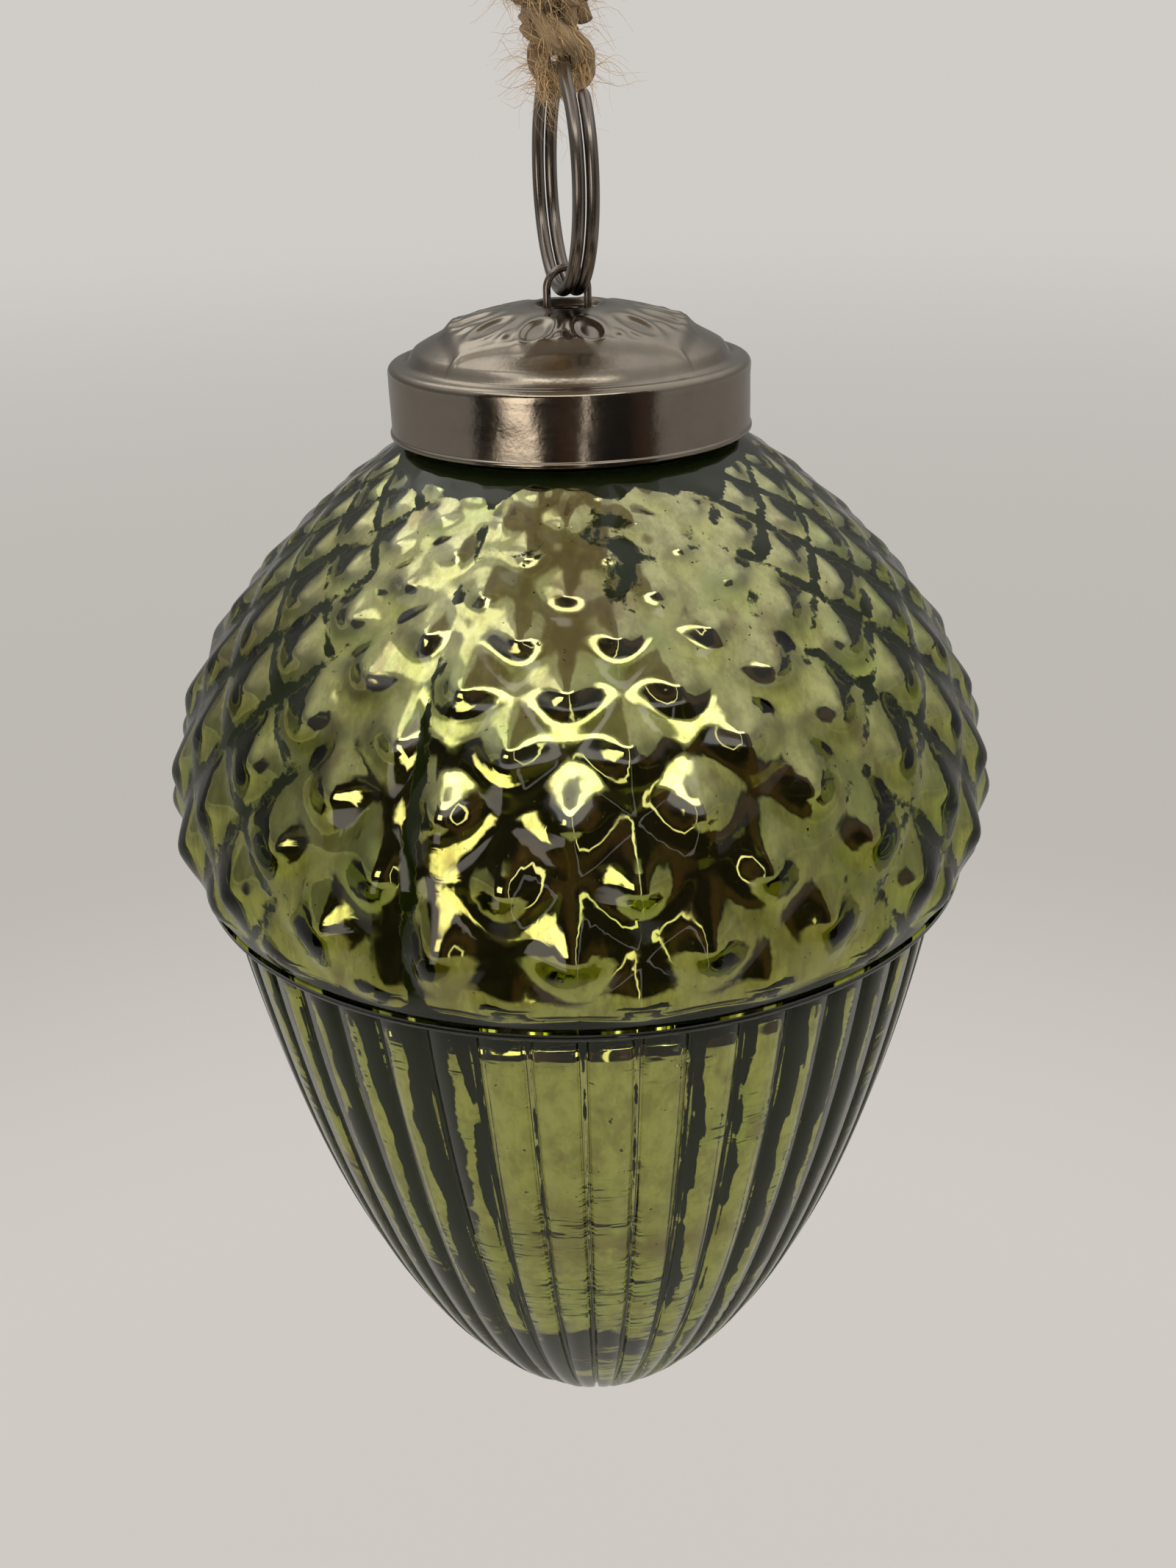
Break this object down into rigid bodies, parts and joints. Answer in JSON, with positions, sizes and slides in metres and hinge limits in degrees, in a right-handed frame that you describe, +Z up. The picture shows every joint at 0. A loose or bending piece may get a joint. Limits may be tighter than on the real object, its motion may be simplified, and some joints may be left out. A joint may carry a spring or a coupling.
{
  "type": "acorn ornament",
  "caption": "Hanging glass acorn ornament with a bumpy cup and fluted nut, a stamped metal cap, wire clip, split ring and a twine loop that hangs on a branch or hook.",
  "frame": {"origin": "inside top of the twine loop, where the ornament hangs on a branch or hook", "axes": "+Z up, along the acorn's axis; the split ring lies in the YZ plane and the clip's loop and the twine loop in the XZ plane; the pictured front faces -Y"},
  "size_m": [0.0798, 0.0798, 0.2241],
  "materials": {
    "glass": "green mould-blown glass, silvered inside with an antiqued, mottled silver",
    "cap_metal": "thin stamped sheet with a warm antique pewter plating, polished on the band",
    "wire": "dark gunmetal plated spring wire",
    "twine": "hairy natural jute, three-ply twist"
  },
  "bodies": {
    "hanger": {"twine_loop": "twine", "twine_knot": "twine", "twine_eye": "twine"},
    "ring": {"split_ring": "wire"},
    "clip": {"wire_clip": "wire"},
    "cap": {"metal_cap": "cap_metal"},
    "glass": {"glass_body": "glass"}
  },
  "joints": [
    {"name": "ring_swing", "type": "hinge", "parent": "hanger", "child": "ring", "pos_m": [0, 0, -0.078], "axis": [0, 1, 0], "range_deg": [-45, 45]},
    {"name": "clip_swing", "type": "hinge", "parent": "ring", "child": "clip", "pos_m": [0, 0, -0.0965], "axis": [0, 1, 0], "range_deg": [-80, 80]},
    {"name": "cap_turn", "type": "hinge", "parent": "clip", "child": "cap", "pos_m": [0, 0, -0.10235], "axis": [0, 0, 1], "continuous": true},
    {"name": "glass_pull", "type": "slide", "parent": "clip", "child": "glass", "axis": [0, 0, -1], "range_m": [0, 0.03]}
  ]
}
